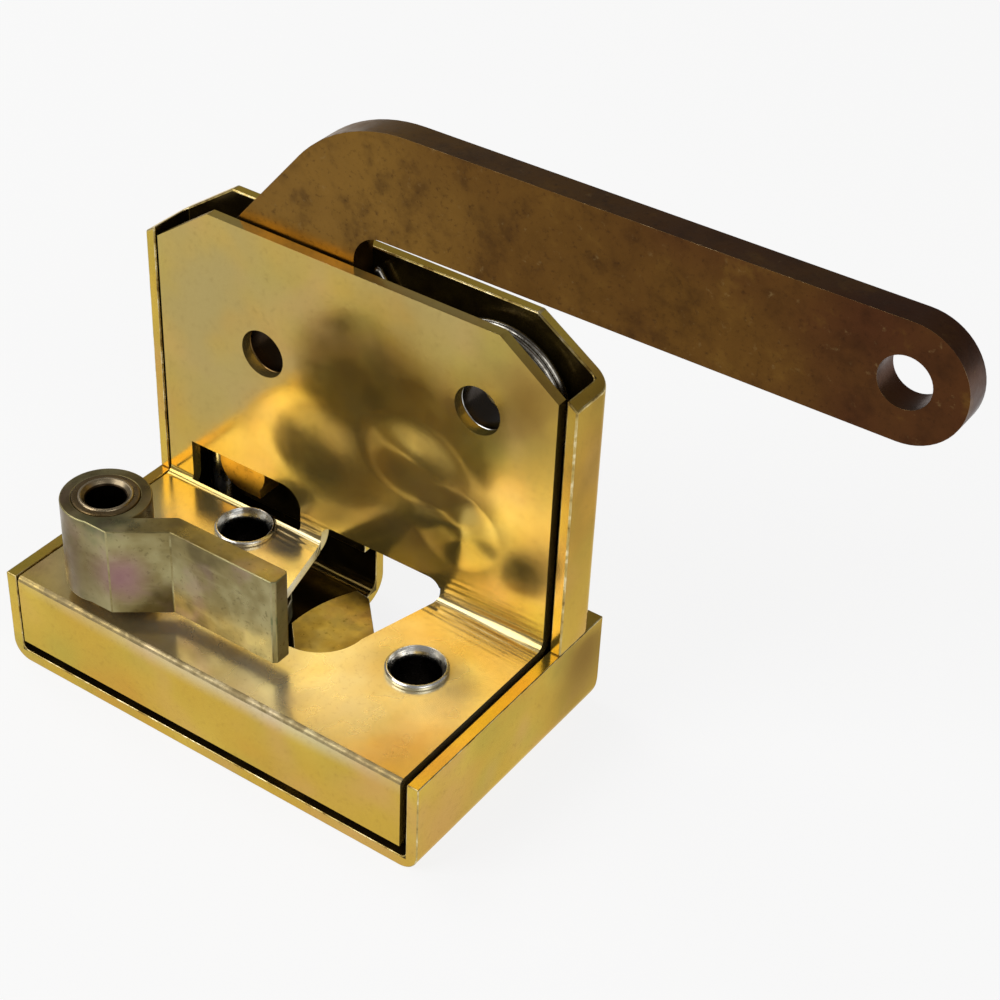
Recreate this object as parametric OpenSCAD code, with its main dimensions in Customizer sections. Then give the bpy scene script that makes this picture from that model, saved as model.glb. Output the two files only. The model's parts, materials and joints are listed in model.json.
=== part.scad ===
// Cab door latch with a long inside-handle lever.
// A folded case holds a rotating claw, a pawl that locks it, and a release shaft with a push paddle.
// Millimetres. +X runs along the lever, +Y from the front flange to the rear wall, +Z is up.
// The origin is the middle of the tray's underside, which is the face that lies on the door frame.

/* [Latch plate] */
// width of the folded latch plate
plate_w = 80; // [70:0.5:95]
// sheet thickness of the latch plate
plate_t = 2; // [1.5:0.1:3]
// height of the base's top face above the tray's underside
base_z = 18; // [16:0.1:22]
// depth from the front flange to the front of the upright plate
base_d = 38.5; // [34:0.1:45]
// height of the front flange
flange_h = 13.9; // [8:0.1:15]
// height of the upright plate at its sides, above the base
side_h = 48.2; // [40:0.1:60]
// height of the upright plate in the middle, above the base
top_h = 56.2; // [44:0.1:70]
// width of the cut-back top corners
corner_w = 11.15; // [4:0.05:18]
// inside radius of the fold between the base and the upright plate
fold_r = 1.6; // [0.5:0.1:3]
// outside radius of the tight fold at the front flange
flange_r = 0.9; // [0.4:0.1:1.8]

/* [Bolts] */
// radius of the bolt holes in both upright walls
bolt_r = 4.35; // [3:0.05:6]
// left bolt, from the middle of the case
bolt_l_x = -17.95; // [-24:0.05:-12]
// left bolt, height above the base
bolt_l_h = 33.7; // [28:0.1:40]
// right bolt, from the middle of the case
bolt_r_x = 25.3; // [18:0.05:28]
// right bolt, height above the base
bolt_r_h = 40.9; // [34:0.1:44]

/* [Mouth] */
// middle of the striker mouth, from the middle of the case
mouth_x = 6.7; // [0:0.1:10]
// radius of the mouth's round end in the base
mouth_r = 8.5; // [6:0.1:10]
// half width of the mouth at the upright plate
mouth_w = 12.6; // [10:0.1:15]
// distance from the front flange to the middle of the round end
mouth_y = 22.5; // [20:0.1:28]
// height of the mouth's opening in the upright walls, above the base
mouth_h = 3.7; // [2:0.1:6]
// radius of the mouth's upper corners
mouth_c = 2.4; // [1:0.1:3]
// half width of the mouth in the tray
tray_mouth_r = 9; // [7:0.1:11]
// distance from the front flange to the middle of the tray mouth's round end
tray_mouth_y = 48; // [42:0.1:49]

/* [Tail slot] */
// left end of the slot in front of the lever's tail, from the middle of the case
slot_x = -34.8; // [-37:0.1:-30]
// width of the slot
slot_w = 24.3; // [18:0.1:26]
// height of the slot above the base
slot_h = 8.6; // [6:0.1:12]
// radius of the slot's upper right corner
slot_r = 4; // [1:0.1:6]

/* [Tray] */
// depth of the tray
tray_d = 51.5; // [46:0.1:60]
// sheet thickness of the tray
tray_t = 2.2; // [2:0.1:3]
// gap between the latch plate's right edge and the tray's wall
side_gap = 1.2; // [0.4:0.1:1.5]
// gap between the latch plate's left edge and the tray's wall
left_gap = 0.4; // [0.3:0.1:1.5]
// outside radius of the tray's side folds
tray_side_r = 3.4; // [2.6:0.1:6]
// outside radius of the tray's rear fold
tray_rear_r = 5; // [2.6:0.1:8]

/* [Rear channel] */
// sheet thickness of the rear channel
chan_t = 2; // [1.2:0.1:2.4]
// free width between the upright plate and the rear wall
cavity = 6; // [5.8:0.1:8]
// how far the rear wall reaches below the tray's top edge
chan_drop = 6; // [2:0.1:8]
// outside radius of the channel's folds
chan_r = 3; // [2.2:0.1:5]
// gap between the rear wall and the tray's rear wall
chan_gap = 0.8; // [0.3:0.1:1.5]

/* [Handle lever] */
// thickness of the lever
lever_t = 5; // [4:0.1:5.4]
// width of the lever's bar
lever_w = 19; // [14:0.1:24]
// distance from the lever's pivot to its end eye, along the bar
lever_len = 110.65; // [80:0.05:140]
// height of the bar's middle line above the pivot
lever_rise = 37.8; // [34:0.1:42]
// upward tilt of the bar at rest, in degrees
lever_tilt = 0.7; // [0:0.1:2]
// radius of the hole in the end eye
eye_r = 4.15; // [3:0.05:6]
// radius of the hub round the pivot
hub_r = 13; // [11:0.1:15]
// outside radius of the pivot bush
handle_bush_r = 7; // [5.6:0.1:8.5]
// left edge of the tail, from the middle of the case
tail_x = -30.5; // [-31.5:0.1:-29]
// width of the tail
tail_w = 8.9; // [6:0.1:10]
// height of the tail's end above the base
tail_h = 0.6; // [0.4:0.1:3]
// radius of the tail's lower left corner
tail_r = 5; // [3:0.1:6]
// right edge of the heel, from the pivot
heel_x = 17.4; // [15:0.1:20]
// radius of the notch between the heel and the bar
notch_r = 5.4; // [2:0.1:7]
// radius of the round shoulder on the heel's back
shoulder_r = 27.5; // [20:0.1:32]
// where the shoulder runs into the bar, from the pivot
shoulder_x = 27.6; // [24:0.1:34]
// slope of the heel's back, in degrees
heel_slope = 49.4; // [44:0.1:56]

/* [Claw] */
// claw pivot, from the middle of the case
claw_x = 26.8; // [24:0.1:28]
// claw pivot, from the front flange
claw_y = 22; // [20.5:0.1:24]
// height of the claw's top face
claw_top = 15; // [14:0.1:15.4]
// thickness of the claw
claw_t = 7; // [5:0.1:7.5]
// radius of the tooth that the pawl holds
claw_r = 25.5; // [23:0.1:25.6]
// radius of the land in front of the tooth
land_r = 22.5; // [20:0.1:24]
// radius of the claw's hub
claw_hub_r = 12.4; // [10:0.1:13]
// turn from open to closed, in degrees
claw_turn = 47; // [40:0.5:48]
// half width of the claw's slot
claw_slot_r = 6.75; // [6:0.05:7.4]
// end of the claw's slot, from the pivot
claw_slot_x = 10; // [9.6:0.1:12]
// front side of the claw's slot, from the pivot
claw_slot_y = 5.6; // [5:0.1:7]
// radius of the corners at the slot's end
claw_slot_c = 3; // [1.5:0.1:5]
// thickness of the cap plate on the claw
cap_t = 2.2; // [1.6:0.1:2.3]
// tip of the rear jaw, from the pivot
jaw_x = 20; // [17:0.1:21]
// radius of the pin that the open claw rests on
stop_r = 2; // [1.6:0.1:2.2]

/* [Pawl] */
// pawl pivot, from the middle of the case
pawl_x = -18.6; // [-20:0.1:-17]
// pawl pivot, from the front flange
pawl_y = 33.3; // [32:0.1:34]
// height of the pawl's top face
pawl_top = 12.5; // [12:0.1:12.5]
// thickness of the pawl
pawl_t = 4.2; // [3.4:0.1:4.2]
// length from the pivot to the nose
pawl_len = 32.8; // [31:0.1:33]
// direction of the nose at rest, in degrees
pawl_dir = -47.3; // [-49:0.1:-46]
// radius of the pawl's hub
pawl_hub_r = 8.2; // [7:0.1:8.4]

/* [Pivot bushes] */
// radius of the bore through the claw and pawl bushes
bush_bore_r = 4.05; // [3:0.05:4.2]
// radius of the bush ends in the base and floor
spigot_r = 4.65; // [4.4:0.05:4.9]
// radius of the flared rim on the base
rim_r = 5.3; // [5:0.05:6.5]
// height of the flared rim
rim_h = 1; // [0.5:0.1:1.5]
// radius of the journals that the claw and pawl turn on
journal_r = 5.5; // [5.2:0.05:6]
// radius of the shoulder under the claw
claw_shoulder_r = 6.5; // [6.2:0.1:6.6]
// radius of the shoulder under the pawl
pawl_shoulder_r = 6; // [5.9:0.05:6.1]
// running clearance of the pivots
run_clear = 0.05; // [0.02:0.01:0.09]
// free gap between parts that move past each other
free_gap = 0.3; // [0.2:0.05:0.5]

/* [Release shaft] */
// release shaft, from the middle of the case
shaft_x = -25.8; // [-27:0.1:-25]
// release shaft, from the front flange
shaft_y = 8; // [7.9:0.1:9]
// outside radius of the pivot tube
tube_r = 4.6; // [4.2:0.05:4.7]
// radius of the tube's bore
tube_bore_r = 3.25; // [2.5:0.05:3.5]
// radius of the tube's countersunk top
tube_sink_r = 4.05; // [3.6:0.05:4.1]
// wall of the bronze bush in the eye
eye_bush_t = 1; // [0.6:0.1:1.4]
// outside radius of the paddle's eye
paddle_eye_r = 7.5; // [6.6:0.1:7.6]
// gap between the base and the paddle
paddle_lift = 2.4; // [1:0.1:4]
// height of the paddle's strip
paddle_h = 16.6; // [10:0.1:20]
// thickness of the paddle's strip
paddle_t = 3.9; // [3:0.1:4.2]
// length from the shaft to the paddle's end
paddle_len = 35.8; // [28:0.1:38]
// distance from the front flange to the bar's front face
paddle_y = 7; // [6:0.1:8]
// thickness of the release crank
crank_t = 3.5; // [2.5:0.1:3.6]
// height of the crank's underside
crank_z = 4.5; // [3:0.1:4.6]
// radius of the trip pin
trip_r = 1.75; // [1.5:0.05:1.8]
// trip pin, behind the middle of the free width between the walls
trip_y = 0.35; // [0.2:0.05:0.5]
// height of the trip pin's top above the base
trip_h = 7.5; // [6.5:0.1:8]
// radius of the pawl pin
pawl_pin_r = 2; // [1.6:0.1:2.1]
// pawl pin, from the middle of the case
pawl_pin_x = -18.1; // [-18.4:0.1:-17.8]
// pawl pin, from the front flange
pawl_pin_y = 21; // [20.6:0.1:21.2]
// height of the collar on the shaft
collar_h = 2.4; // [1.6:0.1:3]
// wall of the collar
collar_t = 1; // [0.6:0.1:1.4]

/* [Springs] */
// wire radius of the handle spring
handle_wire_r = 0.8; // [0.6:0.05:0.9]
// middle radius of the handle spring's coil
handle_coil_r = 12.3; // [9.4:0.1:12.6]
// turns of the handle spring
handle_turns = 2.75; // [2:0.25:3]
// outside radius of the spacer that carries the handle spring
spacer_r = 8; // [6:0.1:8.4]
// wire radius of the claw spring
claw_wire_r = 0.7; // [0.5:0.05:0.75]
// wire radius of the pawl spring
pawl_wire_r = 0.55; // [0.4:0.05:0.65]
// radius of the pins that the springs bear on
post_r = 1.2; // [0.8:0.1:1.3]
// free gap round the coils
spring_gap = 0.4; // [0.3:0.05:0.5]
// length of the handle spring's short leg
handle_leg = 7; // [4:0.1:9]
// end of the handle spring's long leg, above the lever's pivot
heel_h = 19.9; // [18:0.1:22]
// length of the claw spring's leg on the tray
claw_leg = 5.5; // [3:0.1:6]
// length of the claw spring's leg on the claw
claw_leg_end = 7.2; // [6:0.1:8]
// length of the pawl spring's leg on the pawl
pawl_leg = 9; // [7:0.1:10]

/* [Hidden] */
$fn = 64;

GOLD = [0.72, 0.58, 0.26];
OLIVE = [0.50, 0.47, 0.35];
BROWN = [0.40, 0.30, 0.18];
BRONZE = [0.62, 0.44, 0.20];
SILVER = [0.80, 0.80, 0.78];

// the walls stand in front of the tray's rear wall, and the flange stands in front of them
tray_front = -tray_d / 2;
tray_back = tray_d / 2;
chan_back = tray_back - tray_t - chan_gap;
rear_y = chan_back - chan_t;
cav_y = rear_y - cavity;
wall_y = cav_y - plate_t;
front = wall_y - base_d;
half_w = plate_w / 2;
out_r = half_w + side_gap + tray_t;
out_l = -half_w - left_gap - tray_t;
out_w = out_r - out_l;
out_x = (out_r + out_l) / 2;
under_z = base_z - plate_t;
bolt_l_z = base_z + bolt_l_h;
bolt_r_z = base_z + bolt_r_h;
claw_c = [claw_x, front + claw_y];
pawl_c = [pawl_x, front + pawl_y];
shaft_c = [shaft_x, front + shaft_y];
lever_y = cav_y + (cavity - lever_t) / 2;
claw_bot = claw_top - claw_t;
cap_z = claw_top - cap_t;
pawl_bot = pawl_top - pawl_t;
trip_c = [tail_x - free_gap - trip_r, cav_y + cavity / 2 + trip_y];
pawl_pin_c = [pawl_pin_x, front + pawl_pin_y];
finger_x = pawl_pin_x - pawl_pin_r - free_gap;
crank_top = crank_z + crank_t;
stop_c = claw_c + turned([-0.375 * jaw_x, claw_hub_r + 0.99 * stop_r], -claw_turn);
post_in_claw = claw_c + claw_hub_r * turned([0.363, -0.774], -claw_turn);
post_in_pawl = pawl_c + 0.372 * pawl_len * dir(pawl_dir);

function dir(a) = [cos(a), sin(a)];
function turned(p, a) = [p[0] * cos(a) - p[1] * sin(a), p[0] * sin(a) + p[1] * cos(a)];
function unit(v) = v / norm(v);

// a slab whose outline lies in the XZ plane, from y0 towards +Y
module upright(y0, t) {
    translate([0, y0 + t, 0]) rotate([90, 0, 0]) linear_extrude(t) children();
}

// a bar whose outline lies in the YZ plane, centred across the width w
module along(w) {
    rotate([90, 0, 90]) translate([0, 0, -w / 2]) linear_extrude(w) children();
}

module hole_y(x, z, r, y0, y1) {
    translate([x, y0, z]) rotate([-90, 0, 0]) cylinder(r = r, h = y1 - y0);
}

module hole_z(c, r, z0, z1) {
    translate([c[0], c[1], z0]) cylinder(r = r, h = z1 - z0);
}

module ring(c, ro, ri, z0, z1) {
    difference() {
        hole_z(c, ro, z0, z1);
        hole_z(c, ri, z0 - 1, z1 + 1);
    }
}

// the outline of an upright wall with cut-back top corners
module wall_outline(hw, zb, cut) {
    polygon([[-hw, zb], [hw, zb], [hw, base_z + side_h], [hw - cut, base_z + top_h],
        [-hw + cut, base_z + top_h], [-hw, base_z + side_h]]);
}

// round wire along a path; up is never parallel to the path
module wire(path, r, up) {
    sides = 8;
    n = len(path);
    pts = [for (i = [0 : n - 1])
        let (t = unit(path[min(i + 1, n - 1)] - path[max(i - 1, 0)]),
             a = unit(cross(t, up)),
             b = cross(a, t))
        for (k = [0 : sides - 1]) path[i] + r * (cos(360 * k / sides) * a + sin(360 * k / sides) * b)];
    walls = [for (i = [0 : n - 2]) for (k = [0 : sides - 1])
        let (k2 = (k + 1) % sides)
        [i * sides + k, i * sides + k2, (i + 1) * sides + k2, (i + 1) * sides + k]];
    caps = [[for (k = [sides - 1 : -1 : 0]) k], [for (k = [0 : sides - 1]) (n - 1) * sides + k]];
    polyhedron(points = pts, faces = concat(walls, caps), convexity = 6);
}

// folded profile of the latch plate: flange, base and upright wall, with round folds
module plate_profile() {
    ro = fold_r + plate_t;
    y0 = front;
    difference() {
        union() {
            translate([y0, base_z - flange_h]) square([plate_t, flange_h - flange_r]);
            translate([y0 + flange_r, under_z]) square([base_d - flange_r - fold_r, plate_t]);
            translate([wall_y, base_z + fold_r]) square([plate_t, top_h - fold_r]);
            translate([y0 + flange_r, base_z - flange_r]) circle(r = flange_r);
            intersection() {
                translate([wall_y - fold_r, base_z + fold_r]) circle(r = ro);
                translate([wall_y - fold_r, under_z]) square([ro, ro]);
            }
        }
        translate([wall_y - fold_r, base_z + fold_r]) circle(r = fold_r);
    }
}

// opening with round upper corners, standing on z0
module arch(x0, x1, z0, z1, r) {
    translate([x0, z0]) square([x1 - x0, z1 - z0 - r]);
    translate([x0 + r, z1 - r - 1]) square([x1 - x0 - 2 * r, r + 1]);
    translate([x0 + r, z1 - r]) circle(r = r);
    translate([x1 - r, z1 - r]) circle(r = r);
}

module latch_plate() {
    color(GOLD) difference() {
        intersection() {
            along(plate_w) plate_profile();
            upright(front - 1, base_d + plate_t + 2) wall_outline(half_w, 0, corner_w);
        }
        // funnel mouth in the base
        translate([mouth_x, front, under_z - 1]) linear_extrude(plate_t + 2 + mouth_h - mouth_c) union() {
            translate([0, mouth_y]) circle(r = mouth_r);
            polygon([[-mouth_r, mouth_y], [mouth_r, mouth_y], [mouth_w, base_d],
                [mouth_w, base_d + plate_t + 1], [-mouth_w, base_d + plate_t + 1], [-mouth_w, base_d]]);
        }
        // the mouth runs on over the fold into the upright wall
        upright(wall_y - 0.4, plate_t + 1.4)
            arch(mouth_x - mouth_w, mouth_x + mouth_w, under_z - 1, base_z + mouth_h, mouth_c);
        // slot in front of the lever's tail
        upright(wall_y - 0.4, plate_t + 1.4) union() {
            translate([slot_x, under_z - 1]) square([slot_w, slot_h + plate_t + 1 - slot_r]);
            translate([slot_x, base_z]) square([slot_w - slot_r, slot_h]);
            translate([slot_x + slot_w - slot_r, base_z + slot_h - slot_r]) circle(r = slot_r);
        }
        hole_y(bolt_l_x, bolt_l_z, bolt_r, wall_y - 1, cav_y + 1);
        hole_y(bolt_r_x, bolt_r_z, bolt_r, wall_y - 1, cav_y + 1);
        hole_z(claw_c, spigot_r, under_z - 1, base_z + 1);
        hole_z(pawl_c, spigot_r, under_z - 1, base_z + 1);
        hole_z(shaft_c, tube_r + run_clear, under_z - 1, base_z + 1);
    }
}

// plan of the channel: rear wall and two side walls with round outer folds
module channel_plan() {
    ri = chan_r - chan_t;
    difference() {
        union() {
            translate([out_l, wall_y]) square([out_w, chan_back - wall_y - chan_r]);
            translate([out_l + chan_r, wall_y]) square([out_w - 2 * chan_r, chan_back - wall_y]);
            for (x = [out_l + chan_r, out_r - chan_r]) translate([x, chan_back - chan_r]) circle(r = chan_r);
        }
        difference() {
            translate([out_l + chan_t, wall_y - 1]) square([out_w - 2 * chan_t, rear_y - wall_y + 1]);
            for (s = [-1, 1]) translate([out_x + s * (out_w / 2 - chan_r), chan_back - chan_r]) difference() {
                translate([s > 0 ? 0 : -ri - 1, 0]) square([ri + 1, ri + 1]);
                circle(r = ri);
            }
        }
    }
}

module rear_channel() {
    foot = half_w - 1.5;
    color(GOLD) difference() {
        intersection() {
            union() {
                translate([0, 0, base_z]) linear_extrude(top_h + 1) channel_plan();
                translate([-foot, rear_y, base_z - chan_drop]) cube([2 * foot, chan_t, chan_drop + 1]);
            }
            upright(wall_y - 1, chan_back - wall_y + 2) union() {
                polygon([[out_l, base_z - chan_drop], [out_r, base_z - chan_drop],
                    [out_r, base_z + side_h], [half_w - corner_w + 1.5, base_z + top_h + 0.6],
                    [-half_w + corner_w - 1.5, base_z + top_h + 0.6], [out_l, base_z + side_h]]);
            }
        }
        upright(rear_y - 1, chan_t + 2)
            arch(mouth_x - tray_mouth_r - 0.4, mouth_x + tray_mouth_r + 0.4,
                base_z - chan_drop - 1, base_z + mouth_h + 0.3, 2);
        hole_y(bolt_l_x, bolt_l_z, bolt_r, rear_y - 1, chan_back + 1);
        hole_y(bolt_r_x, bolt_r_z, bolt_r, rear_y - 1, chan_back + 1);
    }
}

// section of the tray across its width: a box with round lower corners
module tray_section(hw, z0, z1, r) {
    translate([out_x - hw, z0 + r]) square([2 * hw, z1 - z0 - r]);
    translate([out_x - hw + r, z0]) square([2 * (hw - r), r + 1]);
    for (s = [-1, 1]) translate([out_x + s * (hw - r), z0 + r]) circle(r = r);
}

// section of the tray along its depth: a box with a round lower rear corner
module tray_depth(y0, y1, z0, z1, r) {
    translate([y0, z0 + r]) square([y1 - y0, z1 - z0 - r]);
    translate([y0, z0]) square([y1 - y0 - r, r + 1]);
    translate([y1 - r, z0 + r]) circle(r = r);
}

module bottom_tray() {
    y0 = tray_front - 1;
    color(GOLD) difference() {
        intersection() {
            upright(tray_front, tray_d) tray_section(out_w / 2, 0, base_z, tray_side_r);
            along(2 * out_w) tray_depth(tray_front, tray_back, 0, base_z, tray_rear_r);
        }
        intersection() {
            upright(y0, tray_d) tray_section(out_w / 2 - tray_t, tray_t, base_z + 1, tray_side_r - tray_t);
            along(2 * out_w)
                tray_depth(y0, tray_back - tray_t, tray_t, base_z + 1, tray_rear_r - tray_t);
        }
        // mouth in the floor and the rear wall
        translate([mouth_x, front, -1]) linear_extrude(base_z + 2) union() {
            translate([0, tray_mouth_y]) circle(r = tray_mouth_r);
            translate([-tray_mouth_r, tray_mouth_y]) square([2 * tray_mouth_r, tray_d]);
        }
        hole_z(claw_c, spigot_r, -1, tray_t + 1);
        hole_z(pawl_c, spigot_r, -1, tray_t + 1);
        hole_z(shaft_c, tube_bore_r - run_clear, -1, tray_t + 1);
        hole_z(stop_c, stop_r, -1, tray_t + 1);
    }
}

// flared hollow bush between the tray floor and the base
module flared_bush(c, shoulder_r, shoulder_z) {
    top = base_z + rim_h;
    translate([c[0], c[1], 0]) rotate_extrude() difference() {
        union() {
            translate([bush_bore_r, 0.2]) square([spigot_r - bush_bore_r, top - 0.2 - rim_h / 2]);
            translate([bush_bore_r, tray_t]) square([shoulder_r - bush_bore_r, shoulder_z - tray_t]);
            translate([bush_bore_r, tray_t]) square([journal_r - bush_bore_r, under_z - tray_t]);
            translate([bush_bore_r, base_z]) square([rim_r - bush_bore_r - rim_h / 2, rim_h]);
            translate([bush_bore_r, base_z]) square([rim_r - bush_bore_r, rim_h / 2]);
            translate([rim_r - rim_h / 2, base_z + rim_h / 2]) circle(r = rim_h / 2);
        }
        translate([0, -1]) square([bush_bore_r, top + 2]);
    }
}

module claw_bush() {
    color(SILVER) flared_bush(claw_c, claw_shoulder_r, claw_bot - free_gap);
}

module pawl_bush() {
    color(SILVER) flared_bush(pawl_c, pawl_shoulder_r, pawl_bot - free_gap);
}

// spacer between the two upright walls
module wall_bush(x, z, r) {
    difference() {
        hole_y(x, z, r, cav_y, rear_y);
        hole_y(x, z, bolt_r, cav_y - 1, rear_y + 1);
    }
}

module handle_bush() {
    color(BRONZE) wall_bush(bolt_l_x, bolt_l_z, handle_bush_r);
}

module spacer_bush() {
    color(SILVER) wall_bush(bolt_r_x, bolt_r_z, spacer_r);
}

module shaft_stud() {
    color(SILVER) hole_z(shaft_c, tube_bore_r - run_clear, 0.2, crank_top + 1);
}

module claw_stop() {
    color(SILVER) hole_z(stop_c, stop_r, 0.2, under_z);
}

module claw_washer() {
    color(SILVER) ring(claw_c, journal_r + 3.5, journal_r + run_clear, claw_top + free_gap, under_z);
}

module pawl_washer() {
    color(SILVER) ring(pawl_c, journal_r + 2.4, journal_r + run_clear, pawl_top + free_gap, under_z);
}

// torsion spring round an upright bush: coil from a0, then a straight leg at each end
module torsion_z(c, mean_r, wire_r, z0, turns, pitch, a0, leg0, leg1) {
    steps = round(28 * turns);
    coil = [for (i = [0 : steps])
        let (a = a0 + 360 * turns * i / steps)
        [c[0] + mean_r * cos(a), c[1] + mean_r * sin(a), z0 + pitch * turns * i / steps]];
    a1 = a0 + 360 * turns;
    p0 = coil[0] - leg0 * [-sin(a0), cos(a0), 0];
    p1 = coil[steps] + leg1 * [-sin(a1), cos(a1), 0];
    wire(concat([p0], coil, [p1]), wire_r, [0, 0, 1]);
}

module claw_spring() {
    mean = claw_shoulder_r + claw_wire_r + spring_gap;
    z0 = tray_t + claw_wire_r + spring_gap / 2;
    room = claw_bot - claw_wire_r - spring_gap - z0;
    turns = 2.42;
    color(SILVER) torsion_z(claw_c, mean, claw_wire_r, z0, turns, room / turns, 105, claw_leg, claw_leg_end);
}

module pawl_spring() {
    mean = pawl_shoulder_r + pawl_wire_r + 0.75 * spring_gap;
    z0 = tray_t + pawl_wire_r + spring_gap / 2;
    room = pawl_bot - pawl_wire_r - spring_gap - z0;
    turns = 3.5;
    color(SILVER) torsion_z(pawl_c, mean, pawl_wire_r, z0, turns, room / turns, 0, spring_gap, pawl_leg);
}

// torsion spring round the right spacer, with a long leg to the lever's heel
module handle_spring() {
    mean = handle_coil_r;
    heel = [bolt_l_x + heel_x + handle_wire_r + 1.5 * spring_gap, bolt_l_z + heel_h];
    v = heel - [bolt_r_x, bolt_r_z];
    reach = norm(v);
    a_end = atan2(v[1], v[0]) + acos(mean / reach);
    y0 = cav_y + handle_wire_r + spring_gap;
    room = cavity - 2 * handle_wire_r - 2 * spring_gap;
    turns = handle_turns;
    a0 = a_end + 360 * turns;
    steps = round(28 * turns);
    coil = [for (i = [0 : steps])
        let (a = a0 - 360 * turns * i / steps)
        [bolt_r_x + mean * cos(a), y0 + room * i / steps, bolt_r_z + mean * sin(a)]];
    p1 = [heel[0], y0 + room, heel[1]];
    p0 = coil[0] - handle_leg * [sin(a0), 0, -cos(a0)];
    color(SILVER) wire(concat([p0], coil, [p1]), handle_wire_r, [0, 1, 0]);
}

// a piece of the lever, drawn in the XZ plane with the pivot at the origin
module lever_piece() {
    translate([bolt_l_x, 0, bolt_l_z]) upright(lever_y, lever_t) children();
}

module handle_lever() {
    hw = lever_w / 2;
    top = lever_rise + hw;
    low = lever_rise - hw;
    bar_x = shoulder_x;
    // the sloping back meets the round shoulder at bend, a hair inside it so that the two overlap,
    // and the shoulder meets the bar above bar_x
    bend_r = shoulder_r - 0.02;
    bend = [bar_x - bend_r * sin(heel_slope), top - shoulder_r + bend_r * cos(heel_slope)];
    tx = tail_x - bolt_l_x;
    tz = tail_h - bolt_l_h;
    color(BROWN) difference() {
        union() {
            lever_piece() circle(r = hub_r);
            // bar and end eye
            lever_piece() rotate(lever_tilt) translate([bar_x, low]) square([lever_len - bar_x, lever_w]);
            lever_piece() rotate(lever_tilt) translate([lever_len, lever_rise]) circle(r = hw);
            // heel
            lever_piece() rotate(lever_tilt)
                polygon([[-hub_r, 0], [-hub_r, bend[1] - (bend[0] + hub_r) * tan(heel_slope)], bend,
                    [bar_x, bend[1]], [bar_x, low], [heel_x, low], [heel_x, 0.615 * hub_r],
                    [hub_r * 0.8, -hub_r * 0.6]]);
            lever_piece() rotate(lever_tilt) intersection() {
                translate([bar_x, top - shoulder_r]) circle(r = shoulder_r);
                polygon([bend, [bend[0], top + 1], [bar_x, top + 1], [bar_x, bend[1]]]);
            }
            // round notch between the heel and the bar
            lever_piece() rotate(lever_tilt) translate([heel_x, low]) difference() {
                translate([0, -notch_r]) square([notch_r, notch_r]);
                translate([notch_r, -notch_r]) circle(r = notch_r);
            }
            // tail down to the base
            lever_piece() translate([tx, tz + tail_r]) square([tail_w, -tz - tail_r]);
            lever_piece() translate([tx + tail_r, tz]) square([tail_w - tail_r, tail_r + 1]);
            lever_piece() translate([tx + tail_r, tz + tail_r]) circle(r = tail_r);
        }
        hole_y(bolt_l_x, bolt_l_z, handle_bush_r + run_clear, lever_y - 1, lever_y + lever_t + 1);
        translate([bolt_l_x, 0, bolt_l_z]) rotate([0, -lever_tilt, 0])
            hole_y(lever_len, lever_rise, eye_r, lever_y - 1, lever_y + lever_t + 1);
    }
}

// plan of the paddle: eye, front strap, joggle and straight bar
module paddle_plan() {
    f = paddle_eye_r - 0.3;
    y1 = paddle_y - shaft_y;
    t = paddle_t;
    difference() {
        union() {
            circle(r = paddle_eye_r);
            polygon([[0, -f], [6.6, -f], [14.6, y1], [paddle_len - 0.6, y1], [paddle_len, y1 + 0.6],
                [paddle_len, y1 + t - 0.6], [paddle_len - 0.6, y1 + t], [13.2, y1 + t],
                [5.4, -f + t], [0, -f + t]]);
        }
        circle(r = tube_r + eye_bush_t);
    }
}

module release_paddle() {
    color(OLIVE) translate([shaft_c[0], shaft_c[1], base_z + paddle_lift])
        linear_extrude(paddle_h) paddle_plan();
}

module eye_bush() {
    color(BRONZE) ring(shaft_c, tube_r + eye_bush_t, tube_r, base_z + paddle_lift,
        base_z + paddle_lift + paddle_h + 0.2);
}

module pivot_tube() {
    top = base_z + paddle_lift + paddle_h + 0.4;
    sink = tube_sink_r - tube_bore_r;
    color(BRONZE) translate([shaft_c[0], shaft_c[1], 0]) rotate_extrude()
        polygon([[tube_bore_r, tray_t + free_gap], [tube_r, tray_t + free_gap], [tube_r, top],
            [tube_sink_r, top], [tube_bore_r, top - sink]]);
}

module shaft_collar() {
    top = under_z - fold_r - free_gap;
    color(SILVER) ring(shaft_c, tube_r + collar_t, tube_r, top - collar_h, top);
}

// a flat piece of the crank
module crank_piece() {
    translate([0, 0, crank_z]) linear_extrude(crank_t) children();
}

module release_crank() {
    color(OLIVE) difference() {
        union() {
            crank_piece() translate(shaft_c) circle(r = tube_r + 1);
            // arm to the trip pin, along the left of the tray
            crank_piece() arm(shaft_c + [-1.6, 1], trip_c, 3.2, trip_r + 1);
            crank_piece() translate(trip_c) circle(r = trip_r + 1);
            // lobe to the pawl pin
            crank_piece() arm(shaft_c + [0.6, 1], pawl_pin_c, 3.6, pawl_pin_r + 1.2);
            crank_piece() translate(pawl_pin_c) circle(r = pawl_pin_r + 1.2);
        }
        hole_z(shaft_c, tube_r, crank_z - 1, crank_top + 1);
        hole_z(trip_c, trip_r, crank_z - 1, crank_top + 1);
        hole_z(pawl_pin_c, pawl_pin_r, crank_z - 1, crank_top + 1);
    }
}

// straight arm from a to b with half widths wa and wb
module arm(a, b, wa, wb) {
    d = unit(b - a);
    s = [-d[1], d[0]];
    polygon([a + wa * s, b + wb * s, b - wb * s, a - wa * s]);
}

module trip_pin() {
    color(SILVER) hole_z(trip_c, trip_r, crank_z, base_z + trip_h);
}

module pawl_pin() {
    color(SILVER) hole_z(pawl_pin_c, pawl_pin_r, crank_z, pawl_top);
}

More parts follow.
